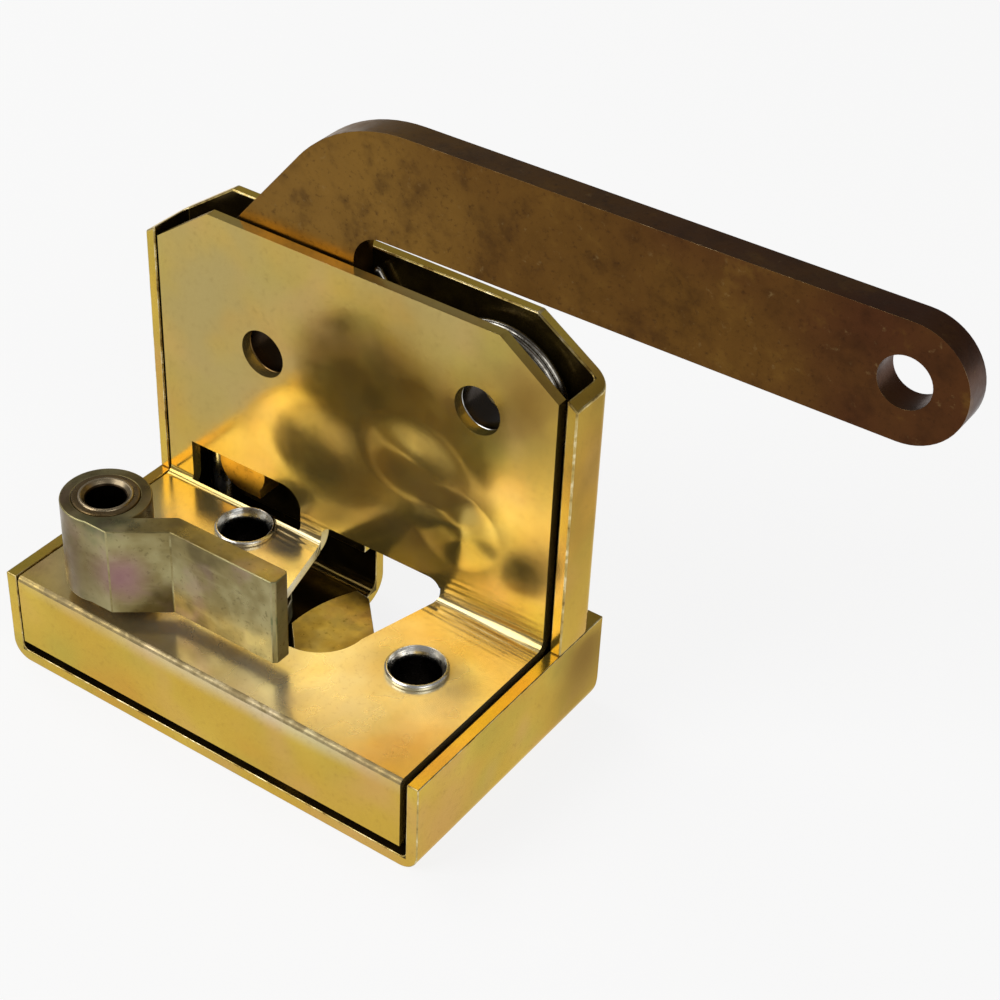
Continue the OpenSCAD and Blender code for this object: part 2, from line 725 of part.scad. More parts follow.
// a flat piece of the claw, drawn closed with the pivot at the origin and the slot towards -X
module claw_piece(z0, z1) {
    translate([claw_c[0], claw_c[1], z0]) rotate(-claw_turn) linear_extrude(z1 - z0) children();
}

// a plate of the claw between two heights: hub, front jaw, rear jaw and the slot for the striker
module claw_plate(z0, z1) {
    low = -claw_slot_y;
    high = low + 2 * claw_slot_r;
    flat = claw_y - plate_t - 1;
    tip = -claw_r + 3.4;
    in_x = -claw_slot_x - claw_slot_c;
    difference() {
        union() {
            claw_piece(z0, z1) circle(r = claw_hub_r);
            claw_piece(z0, z1) intersection() {
                circle(r = claw_r);
                polygon([[0, low], [tip, low], [tip - 4.4, low - 3.5], [tip - 4.4, -flat], [-9, -flat],
                    [3, -claw_hub_r]]);
            }
            claw_piece(z0, z1) polygon([[0, 0], [-claw_slot_x, high], [-jaw_x, high], [-jaw_x, high + 1.5],
                [-jaw_x + 2, 11.6], [0, claw_hub_r]]);
        }
        claw_piece(z0 - 1, z1 + 1) translate([in_x - 2 * claw_r, low]) square([2 * claw_r, high - low]);
        claw_piece(z0 - 1, z1 + 1) translate([in_x - 1, low + claw_slot_c])
            square([claw_slot_c + 1, high - low - 2 * claw_slot_c]);
        claw_piece(z0 - 1, z1 + 1) translate([in_x, low + claw_slot_c]) circle(r = claw_slot_c);
        claw_piece(z0 - 1, z1 + 1) translate([in_x, high - claw_slot_c]) circle(r = claw_slot_c);
        hole_z(claw_c, journal_r + run_clear, z0 - 1, z1 + 1);
        hole_z(post_in_claw, post_r, z0 - 1, z1 + 1);
    }
}

module claw() {
    color(OLIVE) difference() {
        claw_plate(claw_bot, cap_z);
        // land in front of the tooth
        claw_piece(claw_bot - 1, cap_z + 1) difference() {
            polygon([[0, 0], 40 * dir(190), 40 * dir(212)]);
            circle(r = land_r);
        }
    }
}

// cap plate over the tooth, which the pawl's nose passes under
module claw_cap() {
    color(OLIVE) claw_plate(cap_z, claw_top);
}

module claw_post() {
    color(SILVER) hole_z(post_in_claw, post_r, claw_bot - 3.4, claw_top);
}

// a flat piece of the pawl, drawn at rest with the pivot at the origin
module pawl_piece() {
    translate([pawl_c[0], pawl_c[1], pawl_bot]) linear_extrude(pawl_t) children();
}

module pawl() {
    fx = finger_x - pawl_x;
    color(OLIVE) difference() {
        union() {
            pawl_piece() circle(r = pawl_hub_r);
            // strut to the nose
            pawl_piece() rotate(pawl_dir) polygon([[0, 7.6], [13, 7.2], [24, 2.8], [pawl_len, 0],
                [pawl_len, -4.6], [pawl_len - 1.2, -5.4], [22, -3.6], [6, -3.2]]);
            // front finger
            pawl_piece() polygon([[fx, -3], [fx, -15.4], [fx - 1.2, -16.4], [fx - 4.4, -16.4],
                [fx - 5.6, -15.2], [fx - 6, -2]]);
        }
        hole_z(pawl_c, journal_r + run_clear, pawl_bot - 1, pawl_top + 1);
        hole_z(post_in_pawl, post_r, pawl_bot - 1, pawl_top + 1);
    }
}

module pawl_post() {
    color(SILVER) hole_z(post_in_pawl, post_r, pawl_bot - 2.4, pawl_top);
}

latch_plate();
rear_channel();
bottom_tray();
claw_bush();
pawl_bush();
handle_bush();
spacer_bush();
shaft_stud();
claw_stop();
claw_washer();
pawl_washer();
claw_spring();
pawl_spring();
handle_spring();
handle_lever();
release_paddle();
eye_bush();
pivot_tube();
shaft_collar();
release_crank();
trip_pin();
pawl_pin();
claw();
claw_cap();
claw_post();
pawl();
pawl_post();
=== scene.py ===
# Cab door latch with a long inside handle lever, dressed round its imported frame.
# All lengths below are in millimetres and become metres where a mesh is made.
import json
import math

import bmesh
import bpy
import numpy as np
from mathutils import Matrix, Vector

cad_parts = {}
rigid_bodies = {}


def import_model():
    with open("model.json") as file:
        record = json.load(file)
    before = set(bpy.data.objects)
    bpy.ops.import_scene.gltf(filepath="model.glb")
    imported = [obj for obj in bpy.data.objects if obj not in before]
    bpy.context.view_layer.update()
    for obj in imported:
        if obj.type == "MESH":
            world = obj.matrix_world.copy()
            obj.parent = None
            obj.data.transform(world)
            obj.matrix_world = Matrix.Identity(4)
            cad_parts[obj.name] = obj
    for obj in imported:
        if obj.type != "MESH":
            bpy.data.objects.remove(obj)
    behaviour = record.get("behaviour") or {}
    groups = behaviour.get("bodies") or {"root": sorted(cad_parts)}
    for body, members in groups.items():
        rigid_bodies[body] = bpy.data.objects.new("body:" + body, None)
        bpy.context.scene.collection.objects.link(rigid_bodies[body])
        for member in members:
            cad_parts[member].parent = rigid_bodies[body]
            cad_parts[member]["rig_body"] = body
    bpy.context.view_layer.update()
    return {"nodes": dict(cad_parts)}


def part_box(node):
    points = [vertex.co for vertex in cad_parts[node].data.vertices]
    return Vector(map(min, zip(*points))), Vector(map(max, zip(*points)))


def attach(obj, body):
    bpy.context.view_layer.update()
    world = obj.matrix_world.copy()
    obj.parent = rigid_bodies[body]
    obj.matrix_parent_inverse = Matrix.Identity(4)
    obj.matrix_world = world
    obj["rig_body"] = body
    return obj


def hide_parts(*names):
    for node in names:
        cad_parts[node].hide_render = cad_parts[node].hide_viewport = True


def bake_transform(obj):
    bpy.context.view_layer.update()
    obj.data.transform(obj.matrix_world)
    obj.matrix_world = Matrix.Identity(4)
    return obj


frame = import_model()
MM = 0.001
SHARP = math.radians(32)

# Bottom tray
# A pan of 2.2 mm steel sheet with a floor, a rear wall and two side walls, pressed in one piece.
# It is zinc plated and yellow passivated, so its gold drifts to green and pink from place to place.


class Finish:
    """A metal finish: one Principled shader whose nodes read Object coordinates in millimetres."""

    def __init__(self, name, metallic=1.0):
        self.mat = bpy.data.materials.new(name)
        self.mat.use_nodes = True
        self.tree = self.mat.node_tree
        self.shader = self.tree.nodes["Principled BSDF"]
        self.shader.inputs["Metallic"].default_value = metallic
        place = self.tree.nodes.new("ShaderNodeTexCoord")
        scale = self.tree.nodes.new("ShaderNodeMapping")
        scale.inputs["Scale"].default_value = (1 / MM, 1 / MM, 1 / MM)
        self.tree.links.new(place.outputs["Object"], scale.inputs["Vector"])
        self.place = scale.outputs["Vector"]

    def put(self, socket, value):
        """Links a node's output to a socket, or sets a plain value on it."""
        if isinstance(value, bpy.types.NodeSocket):
            self.tree.links.new(value, socket)
        else:
            socket.default_value = value

    def stretched(self, x, y, z, shift=(0, 0, 0)):
        """The coordinates drawn out: a pattern read here is x, y and z times as long on each axis."""
        turn = self.tree.nodes.new("ShaderNodeMapping")
        turn.inputs["Scale"].default_value = (1 / x, 1 / y, 1 / z)
        turn.inputs["Location"].default_value = shift
        self.put(turn.inputs["Vector"], self.place)
        return turn.outputs["Vector"]

    def cloud(self, size, detail=3.0, rough=0.55, seed=0.0, place=None):
        """Soft noise, 0 to 1, whose patches are about size millimetres across."""
        noise = self.tree.nodes.new("ShaderNodeTexNoise")
        noise.noise_dimensions = "4D"
        noise.inputs["Scale"].default_value = 1 / size
        noise.inputs["Detail"].default_value = detail
        noise.inputs["Roughness"].default_value = rough
        noise.inputs["W"].default_value = seed
        self.put(noise.inputs["Vector"], place or self.place)
        return noise.outputs["Fac"]

    def ramp(self, fac, *stops):
        """Colours set out along fac, each stop a place from 0 to 1 and a colour."""
        node = self.tree.nodes.new("ShaderNodeValToRGB")
        node.color_ramp.interpolation = "EASE"
        items = node.color_ramp.elements
        while len(items) < len(stops):
            items.new(0.5)
        for item, (at, colour) in zip(items, stops):
            item.position = at
            item.color = (*colour, 1.0)
        self.put(node.inputs["Fac"], fac)
        return node.outputs["Color"]

    def span(self, value, low, high, to_low=0.0, to_high=1.0):
        """A smooth step of value between low and high, onto to_low and to_high."""
        node = self.tree.nodes.new("ShaderNodeMapRange")
        node.interpolation_type = "SMOOTHSTEP"
        for name, number in zip(("From Min", "From Max", "To Min", "To Max"), (low, high, to_low, to_high)):
            node.inputs[name].default_value = number
        self.put(node.inputs["Value"], value)
        return node.outputs["Result"]

    def maths(self, how, a, b=0.0):
        """One sum of two values, such as ADD, MULTIPLY or SINE."""
        node = self.tree.nodes.new("ShaderNodeMath")
        node.operation = how
        self.put(node.inputs[0], a)
        self.put(node.inputs[1], b)
        return node.outputs["Value"]

    def axis(self, letter):
        """The place along one axis of the piece, in millimetres."""
        node = self.tree.nodes.new("ShaderNodeSeparateXYZ")
        self.put(node.inputs["Vector"], self.place)
        return node.outputs[letter]

    def patch(self, centre, reach):
        """1 at a point of the piece, falling smoothly to 0 at reach millimetres on each axis."""
        turn = self.tree.nodes.new("ShaderNodeMapping")
        turn.vector_type = "TEXTURE"
        turn.inputs["Location"].default_value = centre
        turn.inputs["Scale"].default_value = reach
        self.put(turn.inputs["Vector"], self.place)
        ball = self.tree.nodes.new("ShaderNodeVectorMath")
        ball.operation = "LENGTH"
        self.put(ball.inputs[0], turn.outputs["Vector"])
        return self.span(ball.outputs["Value"], 0.0, 1.0, 1.0, 0.0)

    def inside(self, low, high, soft=0.12):
        """1 within a box of the piece, given by two corners, and 0 outside it."""
        low, high = np.array(low, float), np.array(high, float)
        turn = self.tree.nodes.new("ShaderNodeMapping")
        turn.vector_type = "TEXTURE"
        turn.inputs["Location"].default_value = ((low + high) / 2).tolist()
        turn.inputs["Scale"].default_value = ((high - low) / 2).tolist()
        self.put(turn.inputs["Vector"], self.place)
        part = self.tree.nodes.new("ShaderNodeSeparateXYZ")
        self.put(part.inputs["Vector"], turn.outputs["Vector"])
        sides = [self.maths("ABSOLUTE", part.outputs[k]) for k in "XYZ"]
        far = self.maths("MAXIMUM", self.maths("MAXIMUM", sides[0], sides[1]), sides[2])
        edge = soft / float((high - low).max())
        return self.span(far, 1.0 - edge, 1.0 + edge, 1.0, 0.0)

    def off_axis(self, centre, axis):
        """The distance from a line through centre along one axis, in millimetres."""
        turn = self.tree.nodes.new("ShaderNodeMapping")
        turn.vector_type = "TEXTURE"
        turn.inputs["Location"].default_value = centre
        endless = 1e6
        turn.inputs["Scale"].default_value = tuple(endless if k == axis else 1.0 for k in "xyz")
        self.put(turn.inputs["Vector"], self.place)
        ball = self.tree.nodes.new("ShaderNodeVectorMath")
        ball.operation = "LENGTH"
        self.put(ball.inputs[0], turn.outputs["Vector"])
        return ball.outputs["Value"]

    def mix(self, fac, a, b):
        """Two colours blended by fac, each a plain colour or a node's output."""
        node = self.tree.nodes.new("ShaderNodeMix")
        node.data_type = "RGBA"
        self.put(node.inputs[0], fac)
        self.put(node.inputs[6], a if isinstance(a, bpy.types.NodeSocket) else (*a, 1.0))
        self.put(node.inputs[7], b if isinstance(b, bpy.types.NodeSocket) else (*b, 1.0))
        return node.outputs[2]

    def bump(self, height, strength, depth):
        """Adds relief of depth millimetres on top of what the shader has."""
        node = self.tree.nodes.new("ShaderNodeBump")
        node.inputs["Strength"].default_value = strength
        node.inputs["Distance"].default_value = depth * MM
        self.put(node.inputs["Height"], height)
        held = self.shader.inputs["Normal"]
        if held.is_linked:
            self.put(node.inputs["Normal"], held.links[0].from_socket)
        self.put(held, node.outputs["Normal"])

    def close(self, colour, roughness):
        """Sets the shader's colour and roughness and gives the material back."""
        self.put(self.shader.inputs["Base Color"], colour)
        self.put(self.shader.inputs["Roughness"], roughness)
        return self.mat


GOLD_GREEN = (0.46, 0.38, 0.065)
GOLD_YELLOW = (0.60, 0.39, 0.055)
GOLD_PALE = (0.68, 0.48, 0.08)
GOLD_ORANGE = (0.60, 0.34, 0.05)
GOLD_PINK = (0.63, 0.37, 0.12)
GOLD_OLIVE = (0.45, 0.35, 0.13)
# The palest gold below is a painted sheen of light on the base, not a colour of the film.
GOLD_PAINTED_SHEEN = (0.86, 0.86, 0.74)
GOLD_BROWN = (0.20, 0.10, 0.015)
GOLD_RUBBED = (0.30, 0.23, 0.11)
PAINTED_SHADE = (0.035, 0.022, 0.008)
BORE_PAINTED_SHADE = (0.014, 0.007, 0.003)


def gold_zinc(name, seed, film_size, wave, tones_and_painted_light=(), shade_boxes=(), strain=(), satin=(), dents=(), rubs=()):
    """Yellow passivated zinc: a slow film of colour, a fine grain, other tones at given places (on the
    latch plate some of them are a painted reflection and a painted sheen), painted shade that darkens the
    boxes the mechanism works in, strain lines along a fold, places with a satin finish, shallow dents, and
    folds in boxes where the film is rubbed off in nicks."""
    f = Finish(name, 0.82)
    f.shader.inputs["Specular Tint"].default_value = (1.0, 0.86, 0.52, 1.0)
    film = f.cloud(film_size, 1.2, 0.45, seed)
    colour = f.ramp(film, (0.30, GOLD_ORANGE), (0.48, GOLD_YELLOW), (0.68, GOLD_PALE))
    for size, shift, tone in ((0.8, 11, GOLD_GREEN), (0.6, 13, GOLD_PINK)):
        drift = f.cloud(size * film_size, 1.5, 0.45, seed + shift)
        colour = f.mix(f.span(drift, 0.46, 0.74, 0.0, 0.85), colour, tone)
    for centre, reach, tone, share in tones_and_painted_light:
        broken = f.span(f.cloud(12.0, 2.0, 0.5, seed + 3), 0.3, 0.6, 0.5, 1.0)
        soft = f.maths("MULTIPLY", f.patch(centre, reach), broken)
        colour = f.mix(f.maths("MULTIPLY", soft, share), colour, tone)
    grain = f.cloud(1.0, 4.0, 0.7, seed + 1)
    colour = f.mix(f.span(grain, 0.50, 0.80, 0.0, 0.30), colour, GOLD_BROWN)
    rough = f.span(f.cloud(7.0, 3.0, 0.55, seed + 2), 0.25, 0.75, 0.12, 0.25)
    for centre, reach, dull in satin:
        rough = f.maths("ADD", rough, f.maths("MULTIPLY", f.patch(centre, reach), dull))
    for low, high in rubs:
        worn = f.span(f.cloud(2.2, 5.0, 0.65, seed + 9), 0.35, 0.6, 0.5, 1.0)
        nick = f.maths("MULTIPLY", f.inside(low, high), worn)
        colour = f.mix(nick, colour, GOLD_RUBBED)
        rough = f.maths("ADD", rough, f.maths("MULTIPLY", nick, 0.3))
    for centre, reach, depth in dents:
        f.bump(f.patch(centre, reach), 1.0, depth)
    # Each box is darkened towards near black: painted shade where the hollows lie in shadow.
    for low, high in shade_boxes:
        thick = f.span(f.cloud(6.0, 4.0, 0.6, seed + 6), 0.2, 0.6, 0.80, 0.97)
        shaded = f.maths("MULTIPLY", f.inside(low, high), thick)
        colour = f.mix(shaded, colour, PAINTED_SHADE)
    f.bump(f.cloud(20.0, 1.5, 0.45, seed + 7), wave, 0.8)
    for centre, reach, pitch in strain:
        lean = f.maths("ADD", f.axis("Y"), f.maths("MULTIPLY", f.axis("X"), 0.04))
        across = f.maths("SUBTRACT", f.axis("Z"), lean)
        ridge = f.maths("SINE", f.maths("MULTIPLY", across, 2 * math.pi / pitch))
        f.bump(f.maths("MULTIPLY", ridge, f.patch(centre, reach)), 0.8, 0.12)
    f.bump(f.cloud(0.7, 3.0, 0.6, seed + 8), 0.10, 0.05)
    return f.close(colour, rough)


def wear_and_highlight_gold(name, seed):
    """The rubbed edge of a gold sheet, where the film has thinned to pale zinc with brown nicks; the pale
    zinc is also a painted highlight along the edge.
    """
    f = Finish(name)
    rub = f.cloud(2.6, 5.0, 0.65, seed)
    colour = f.ramp(rub, (0.34, (0.20, 0.12, 0.03)), (0.50, (0.50, 0.37, 0.12)), (0.66, (0.80, 0.68, 0.40)))
    f.bump(f.cloud(0.9, 3.0, 0.6, seed + 1), 0.25, 0.06)
    return f.close(colour, f.span(rub, 0.3, 0.7, 0.40, 0.24))


def dressed(node, name, main, edge, width, segments=2):
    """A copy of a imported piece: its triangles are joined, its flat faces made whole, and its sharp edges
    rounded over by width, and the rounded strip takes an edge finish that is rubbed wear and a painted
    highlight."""
    source = frame["nodes"][node]
    bm = bmesh.new()
    bm.from_mesh(source.data)
    bmesh.ops.remove_doubles(bm, verts=bm.verts[:], dist=2e-7)
    bmesh.ops.dissolve_limit(bm, angle_limit=math.radians(0.4), verts=bm.verts[:], edges=bm.edges[:])
    mesh = bpy.data.meshes.new(name)
    bm.to_mesh(mesh)
    bm.free()
    mesh.materials.append(main)
    mesh.materials.append(edge)
    mesh.polygons.foreach_set("material_index", np.zeros(len(mesh.polygons), np.int32))
    mesh.shade_smooth()
    mesh.set_sharp_from_angle(angle=SHARP)
    piece = bpy.data.objects.new(name, mesh)
    bpy.context.scene.collection.objects.link(piece)
    bevel = piece.modifiers.new("rounded_edge", "BEVEL")
    bevel.width = width * MM
    bevel.segments = segments
    bevel.limit_method = "ANGLE"
    bevel.angle_limit = SHARP
    bevel.use_clamp_overlap = True
    bevel.harden_normals = True
    bevel.material = 1
    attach(piece, source["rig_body"])
    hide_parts(node)
    return piece


# The box inside the tray, under the base, is painted dark: painted shade in the hollow.
tray_gold = gold_zinc("tray_gold", 1.0, 17.0, 0.4, tones_and_painted_light=(
    ((43.4, -18.0, 8.0), (6.0, 11.0, 11.0), GOLD_PINK, 0.9),
    ((43.4, 21.0, 13.0), (6.0, 17.0, 20.0), GOLD_BROWN, 1.0),
    ((43.4, -4.0, 16.0), (6.0, 16.0, 6.0), GOLD_GREEN, 0.6),
), shade_boxes=(((-40.5, -30.0, 2.0), (41.3, 23.7, 17.6)),))
edge_gold = wear_and_highlight_gold("edge_gold", 4.0)
dressed("bottom_tray", "bottom_tray_pan", tray_gold, edge_gold, 0.35, 3)

# Pivot bushes of the claw and the pawl
# Hollow turned steel, put through the floor and the base, with the top end rolled over the base.
# Bright steel, with turning lines round it and a soft polish on the rim.

AXES = {"z": ((1, 0, 0), (0, 1, 0), (0, 0, 1)), "y": ((0, 0, 1), (1, 0, 0), (0, 1, 0))}


def rounded(corners, radius, steps=5):
    """A closed outline with each corner worn round: the arc at corner p runs from a to b, which lie on the
    lines to its two neighbours, on the curve (1-t)^2 a + 2t(1-t) p + t^2 b."""
    p = np.asarray(corners, float)
    before = np.roll(p, 1, 0) - p
    after = np.roll(p, -1, 0) - p
    long_b = np.linalg.norm(before, axis=1)
    long_a = np.linalg.norm(after, axis=1)
    d = np.minimum(np.broadcast_to(radius, len(p)), 0.45 * np.minimum(long_b, long_a))[:, None]
    a = p + d * before / long_b[:, None]
    b = p + d * after / long_a[:, None]
    t = np.linspace(0, 1, steps)[None, :, None]
    arc = (1 - t) ** 2 * a[:, None] + 2 * t * (1 - t) * p[:, None] + t ** 2 * b[:, None]
    return arc.reshape(-1, 2)


def as_piece(name, points, faces, material, body, nodes):
    """Makes the mesh of an array of points and faces, closes its seams, and fixes it to its body."""
    mesh = bpy.data.meshes.new(name)
    mesh.from_pydata((np.asarray(points).reshape(-1, 3) * MM).tolist(), [], np.asarray(faces).tolist())
    bm = bmesh.new()
    bm.from_mesh(mesh)
    bmesh.ops.remove_doubles(bm, verts=bm.verts[:], dist=1e-7)
    bmesh.ops.dissolve_degenerate(bm, dist=1e-7, edges=bm.edges[:])
    bmesh.ops.recalc_face_normals(bm, faces=bm.faces[:])
    bm.to_mesh(mesh)
    bm.free()
    mesh.materials.append(material)
    mesh.shade_smooth()
    mesh.set_sharp_from_angle(angle=math.radians(40))
    piece = bpy.data.objects.new(name, mesh)
    bpy.context.scene.collection.objects.link(piece)
    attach(piece, body)
    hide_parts(*nodes)
    return piece


def grid_faces(rows, columns, wrap_rows, wrap_columns):
    """Four-cornered faces of a grid of points, with its first and last rows or columns joined if asked."""
    i = np.arange(rows if wrap_rows else rows - 1)[:, None]
    j = np.arange(columns if wrap_columns else columns - 1)[None, :]
    i2 = (i + 1) % rows
    j2 = (j + 1) % columns
    corners = (i * columns + j, i * columns + j2, i2 * columns + j2, i2 * columns + j)
    return np.stack(np.broadcast_arrays(*corners), -1).reshape(-1, 4)


def turned(profile, centre, axis, count=96):
    """A turned piece: the profile point (r, h) goes round the axis at c + r cos(a) u + r sin(a) v + h w. A
    profile that starts and ends at r = 0 is a solid one, and any other closes on itself."""
    r, h = np.asarray(profile, float).T
    u, v, w = (np.array(k, float) for k in AXES[axis])
    a = np.linspace(0, 2 * np.pi, count, endpoint=False)
    ring = np.cos(a)[:, None] * u + np.sin(a)[:, None] * v
    points = np.asarray(centre, float) + r[:, None, None] * ring + h[:, None, None] * w
    solid = r[0] == 0 and r[-1] == 0
    return points, grid_faces(len(r), count, not solid, True)


def bright_steel(name, axis, centre, seed, tone=(0.78, 0.78, 0.76), rough=(0.16, 0.32), bore=0.0):
    """Turned steel: fine lines that follow the lathe round the axis, a few dull spots, and a bore of the
    given radius whose wall is painted near black as painted shade down the hole."""
    f = Finish(name)
    turn = f.tree.nodes.new("ShaderNodeMapping")
    turn.vector_type = "TEXTURE"
    turn.inputs["Location"].default_value = centre
    f.put(turn.inputs["Vector"], f.place)
    lines = f.tree.nodes.new("ShaderNodeTexWave")
    lines.wave_type = "RINGS"
    lines.rings_direction = axis.upper()
    lines.inputs["Scale"].default_value = 1.6
    lines.inputs["Distortion"].default_value = 2.5
    lines.inputs["Detail"].default_value = 3.0
    f.put(lines.inputs["Vector"], turn.outputs["Vector"])
    dull = f.cloud(2.2, 4.0, 0.6, seed)
    dark = tuple(0.55 * c for c in tone)
    warm = (tone[0], 0.90 * tone[1], 0.74 * tone[2])
    colour = f.mix(f.span(dull, 0.45, 0.75, 0.0, 0.7), tone, dark)
    colour = f.mix(f.span(f.cloud(5.0, 2.0, 0.5, seed + 2), 0.45, 0.7, 0.0, 0.7), colour, warm)
    # The bore's wall is painted near black: painted shade down the hole.
    if bore:
        shaded = f.span(f.off_axis(centre, axis), bore + 0.16, bore + 0.02)
        colour = f.mix(f.maths("MULTIPLY", shaded, 0.96), colour, BORE_PAINTED_SHADE)
    f.bump(lines.outputs["Fac"], 0.12, 0.04)
    f.bump(dull, 0.15, 0.06)
    return f.close(colour, f.span(dull, 0.3, 0.7, *rough))


def bush(node, shoulder_r, shoulder_top):
    """Profile of a flared bush, from the floor up: end, shoulder, journal, end in the base, rolled rim."""
    low, high = (np.array(k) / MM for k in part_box(node))
    centre = ((low[0] + high[0]) / 2, (low[1] + high[1]) / 2, 0.0)
    bore, end_r, journal, rim = 4.05, 4.65, 5.5, 5.3
    floor, under, base, top = 2.2, 16.0, 18.0, high[2]
    corners = [(bore, low[2]), (end_r, low[2]), (end_r, floor), (shoulder_r, floor),
               (shoulder_r, shoulder_top), (journal, shoulder_top), (journal, under), (end_r, under),
               (end_r, base), (rim, base + 0.02), (rim, top - 0.28), (rim - 0.34, top), (bore + 0.78, top),
               (bore, top - 1.7)]
    radii = [0.1, 0.2, 0.05, 0.2, 0.3, 0.1, 0.1, 0.05, 0.05, 0.2, 0.3, 0.3, 0.5, 0.9]
    points, faces = turned(rounded(corners, radii, 6), centre, "z")
    steel = bright_steel(node + "_steel", "z", centre, shoulder_r, (0.82, 0.81, 0.77), bore=bore)
    return as_piece(node + "_turned", points, faces, steel, "case", [node])


bush("claw_bush", 6.5, 7.7)
bush("pawl_bush", 6.0, 8.0)

# Stud, stop pin, washers, collar and the other small pins
# Plain turned steel pins with broken ends, pressed into the sheet, and thin rings that keep the moving
# plates apart. They are cut from bright bar and left as they are.


def small_turned(node, body, chamfer, bore=0.0, tone=(0.74, 0.74, 0.71), edge=0.12):
    """A pin, or a ring where it has a bore: a rectangle in section, with its corners broken by chamfer."""
    low, high = (np.array(k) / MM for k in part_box(node))
    centre = ((low[0] + high[0]) / 2, (low[1] + high[1]) / 2, 0.0)
    r = (high[0] - low[0]) / 2
    a, b = low[2], high[2]
    if bore:
        corners = [(bore + chamfer, a), (r - chamfer, a), (r, a + chamfer), (r, b - chamfer),
                   (r - chamfer, b), (bore + chamfer, b), (bore, b - chamfer), (bore, a + chamfer)]
        profile = rounded(corners, edge)
    else:
        corners = [(0, a), (r - chamfer, a), (r, a + chamfer), (r, b - chamfer), (r - chamfer, b), (0, b)]
        profile = rounded(corners, [0, edge, edge, edge, edge, 0])
    points, faces = turned(profile, centre, "z", 64)
    steel = bright_steel(node + "_steel", "z", centre, r + a, tone)
    return as_piece(node + "_turned", points, faces, steel, body, [node])


small_turned("shaft_stud", "case", 0.4)
small_turned("claw_stop", "case", 0.3)
small_turned("claw_washer", "case", 0.08, 5.55, edge=0.05)
small_turned("pawl_washer", "case", 0.08, 5.55, edge=0.05)
small_turned("claw_post", "claw", 0.25)
small_turned("pawl_post", "pawl", 0.25)
small_turned("trip_pin", "release_shaft", 0.4)
small_turned("pawl_pin", "release_shaft", 0.3)
small_turned("shaft_collar", "release_shaft", 0.2, 4.6)

# Claw, pawl and release crank
# Thick steel blanks, punched out and plated a dull olive, with rubbed faces where they slide.
# They lie in the tray and are seen only through the mouth.

OLIVE_DARK = (0.13, 0.10, 0.04)
OLIVE_MID = (0.25, 0.20, 0.08)
OLIVE_PALE = (0.38, 0.33, 0.16)
OLIVE_BLUSH = (0.33, 0.20, 0.19)
OLIVE_GREEN = (0.20, 0.21, 0.10)


def olive_zinc(name, seed, blush=0.4, rub=0.4, tones_and_painted_shade=()):
    """Dull olive passivation: grey-green patches, a violet blush, dark specks, rubbed pale streaks, and
    other tones at given places, which on the paddle are painted shade and a painted reflection besides a
    violet tint."""
    f = Finish(name)
    film = f.cloud(11.0, 3.5, 0.55, seed)
    colour = f.ramp(film, (0.30, OLIVE_DARK), (0.45, OLIVE_MID), (0.58, OLIVE_PALE), (0.70, OLIVE_GREEN))
    colour = f.mix(f.span(f.cloud(8.0, 3.0, 0.5, seed + 9), 0.50, 0.66, 0.0, blush), colour, OLIVE_BLUSH)
    streak = f.cloud(1.6, 4.0, 0.6, seed + 2, f.stretched(5.0, 5.0, 0.8))
    colour = f.mix(f.span(streak, 0.50, 0.72, 0.0, rub), colour, OLIVE_PALE)
    speck = f.cloud(0.8, 3.0, 0.6, seed + 4)
    colour = f.mix(f.span(speck, 0.56, 0.72, 0.0, 0.55), colour, OLIVE_DARK)
    for centre, reach, tone, share in tones_and_painted_shade:
        colour = f.mix(f.maths("MULTIPLY", f.patch(centre, reach), share), colour, tone)
    f.bump(f.cloud(7.0, 3.0, 0.5, seed + 6), 0.30, 0.4)
    f.bump(speck, 0.25, 0.06)
    return f.close(colour, f.span(f.cloud(3.0, 4.0, 0.6, seed + 3), 0.3, 0.7, 0.26, 0.46))


def wear_and_highlight_olive(name, seed):
    """The rubbed edge of an olive piece: dark, with flecks of pale steel that are also a painted highlight.
    """
    f = Finish(name)
    rub = f.cloud(2.0, 5.0, 0.65, seed)
    colour = f.ramp(rub, (0.32, OLIVE_DARK), (0.48, (0.42, 0.35, 0.18)), (0.64, (0.66, 0.58, 0.38)))
    f.bump(rub, 0.2, 0.06)
    return f.close(colour, f.span(rub, 0.3, 0.7, 0.42, 0.26))


edge_olive = wear_and_highlight_olive("edge_olive", 12.0)
inner_olive = olive_zinc("inner_olive", 21.0, 0.25, 0.5)
dressed("claw", "claw_plate", inner_olive, edge_olive, 0.3)
dressed("claw_cap", "claw_cap_plate", inner_olive, edge_olive, 0.3)
dressed("pawl", "pawl_plate", inner_olive, edge_olive, 0.3)
dressed("release_crank", "release_crank_plate", inner_olive, edge_olive, 0.3)

# Springs
# Round music wire wound on a mandrel, grey under an old greasy film. Each has a coil round its bush and a
# leg at
# each end: one leg bears on the case, and the other goes with the moving piece.


def spring_steel(name, seed):
    """Drawn wire: grey under a thin greasy film, with a faint straw tint and small bright scratches."""
    f = Finish(name)
    scuff = f.cloud(1.2, 4.0, 0.6, seed)
    dark, mid, pale = (0.18, 0.16, 0.13), (0.34, 0.32, 0.28), (0.50, 0.48, 0.43)
    colour = f.ramp(scuff, (0.35, dark), (0.5, mid), (0.65, pale))
    f.bump(scuff, 0.15, 0.04)
    return f.close(colour, f.span(scuff, 0.3, 0.7, 0.34, 0.18))


